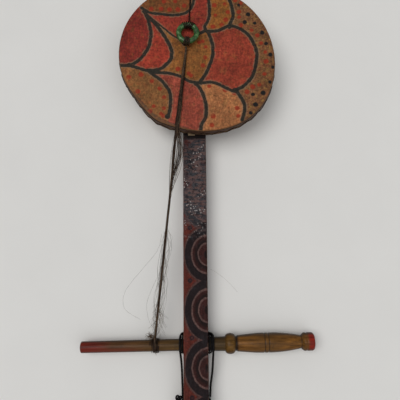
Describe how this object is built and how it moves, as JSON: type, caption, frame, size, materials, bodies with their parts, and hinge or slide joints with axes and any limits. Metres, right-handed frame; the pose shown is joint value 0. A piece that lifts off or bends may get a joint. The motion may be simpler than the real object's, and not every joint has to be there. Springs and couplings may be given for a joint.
{
  "type": "one-string spike fiddle",
  "caption": "Shallow round fiddle body with a hide on each face, long square painted neck, horsehair string tied to a ring, and a turned tuning peg held by a lashing cord.",
  "frame": {"origin": "under the middle of the round body, on the back hide's flat face", "axes": "+Z is the front hide's outward normal, +Y runs along the neck from its tip towards the body, +X is towards the peg's handle"},
  "size_m": [0.3057, 0.642, 0.0671],
  "materials": {
    "hoop_wood": "bare bent wood",
    "painted_hide": "matte hide painted red, ochre and dark green",
    "plain_hide": "matte brown hide",
    "hide_thong": "dark twisted thong",
    "painted_wood": "worn dark red paint with dark bands",
    "pale_wood": "bare split wood",
    "varnished_wood": "satin varnish, red paint at both ends",
    "green_ring": "glossy green",
    "tail_twine": "dark waxed twine",
    "horsehair": "loose dark horsehair",
    "black_cord": "twisted black cord"
  },
  "bodies": {
    "fiddle": {"hoop": "hoop_wood", "front_skin": "painted_hide", "back_skin": "plain_hide", "seam_lacing": "hide_thong", "neck": "painted_wood", "neck_wedge": "pale_wood", "string_ring": "green_ring", "ring_hitch": "tail_twine", "tail_cord": "tail_twine", "tail_hitch": "tail_twine", "hair_loop": "horsehair", "hair_string": "horsehair", "lashing_outer": "black_cord", "lashing_inner": "black_cord", "lashing_tie": "black_cord", "lashing_knot": "black_cord", "lashing_tassel": "black_cord"},
    "peg": {"tuning_peg": "varnished_wood", "string_winding": "horsehair"}
  },
  "joints": [
    {"name": "peg_turn", "type": "hinge", "parent": "fiddle", "child": "peg", "pos_m": [-0.004, -0.3924, 0.0145], "axis": [0.9999, 0.0157, 0], "continuous": true}
  ]
}
